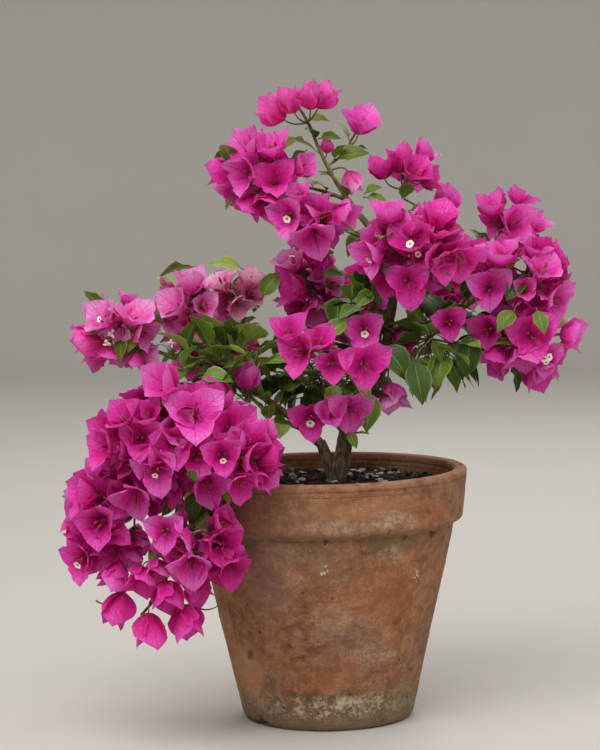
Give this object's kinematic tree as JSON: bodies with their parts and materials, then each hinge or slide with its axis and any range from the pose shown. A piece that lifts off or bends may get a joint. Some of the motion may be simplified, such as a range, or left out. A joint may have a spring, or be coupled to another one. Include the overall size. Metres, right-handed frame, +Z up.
{
  "type": "potted bougainvillea bush",
  "caption": "Small flowering bush in a round clay pot with a thick rim band: short forked trunk, arching leader, level side sprays and one spray that hangs over the rim.",
  "frame": {"origin": "centre of the pot's flat underside", "axes": "+Z up along the pot's axis; -Y is the front, with the hanging spray; +X is the right-hand side seen from the front"},
  "size_m": [0.551, 0.3978, 0.6723],
  "materials": {
    "clay": "weathered unglazed earthenware with lime bloom and dark stains",
    "soil": "dark crumbly potting mix with bark chips and grit",
    "bark": "grey-brown fissured bark",
    "green_bark": "young olive-brown bark, smooth, with small thorns",
    "bract": "papery magenta bracts with fine raised veins",
    "leaf": "smooth mid-green leaves with a pale midrib",
    "floret": "small cream flowers in the bracts"
  },
  "bodies": {
    "root": {"pot": "clay", "soil": "soil", "trunk": "bark", "leader_low": "bark", "leader_mid": "bark", "bough_crown_tip": "green_bark", "bough_crown_side": "green_bark", "bough_upper_left": "green_bark", "bough_upper_mid": "green_bark", "bough_upper_right": "green_bark", "bough_right_front": "green_bark", "bough_far_right_high": "green_bark", "bough_far_right_low": "green_bark", "bough_right_top": "green_bark", "bough_middle": "green_bark", "bough_front_mid": "green_bark", "bough_front_low": "green_bark", "bough_back_right": "green_bark", "bough_back_mid": "green_bark", "bough_left_tip": "green_bark", "bough_left_mid": "green_bark", "bough_left_inner": "green_bark", "bough_back_left": "green_bark", "bough_cascade_top": "green_bark", "bough_cascade_side": "green_bark", "bough_cascade_out": "green_bark", "bough_cascade_in": "green_bark", "bough_cascade_low": "green_bark", "bough_green_left": "green_bark", "bough_green_centre": "green_bark", "bough_green_right": "green_bark", "bough_green_back": "green_bark", "mass_crown_tip": "bract", "mass_crown_side": "bract", "mass_upper_left": "bract", "mass_upper_mid": "bract", "mass_upper_right": "bract", "mass_right_front": "bract", "mass_far_right_high": "bract", "mass_far_right_low": "bract", "mass_right_top": "bract", "mass_middle": "bract", "mass_front_mid": "bract", "mass_front_low": "bract", "mass_back_right": "bract", "mass_back_mid": "bract", "mass_left_tip": "bract", "mass_left_mid": "bract", "mass_left_inner": "bract", "mass_back_left": "bract", "mass_cascade_top": "bract", "mass_cascade_side": "bract", "mass_cascade_out": "bract", "mass_cascade_in": "bract", "mass_cascade_low": "bract", "mass_green_left": "leaf", "mass_green_centre": "leaf", "mass_green_right": "leaf", "mass_green_back": "leaf"}
  },
  "joints": []
}
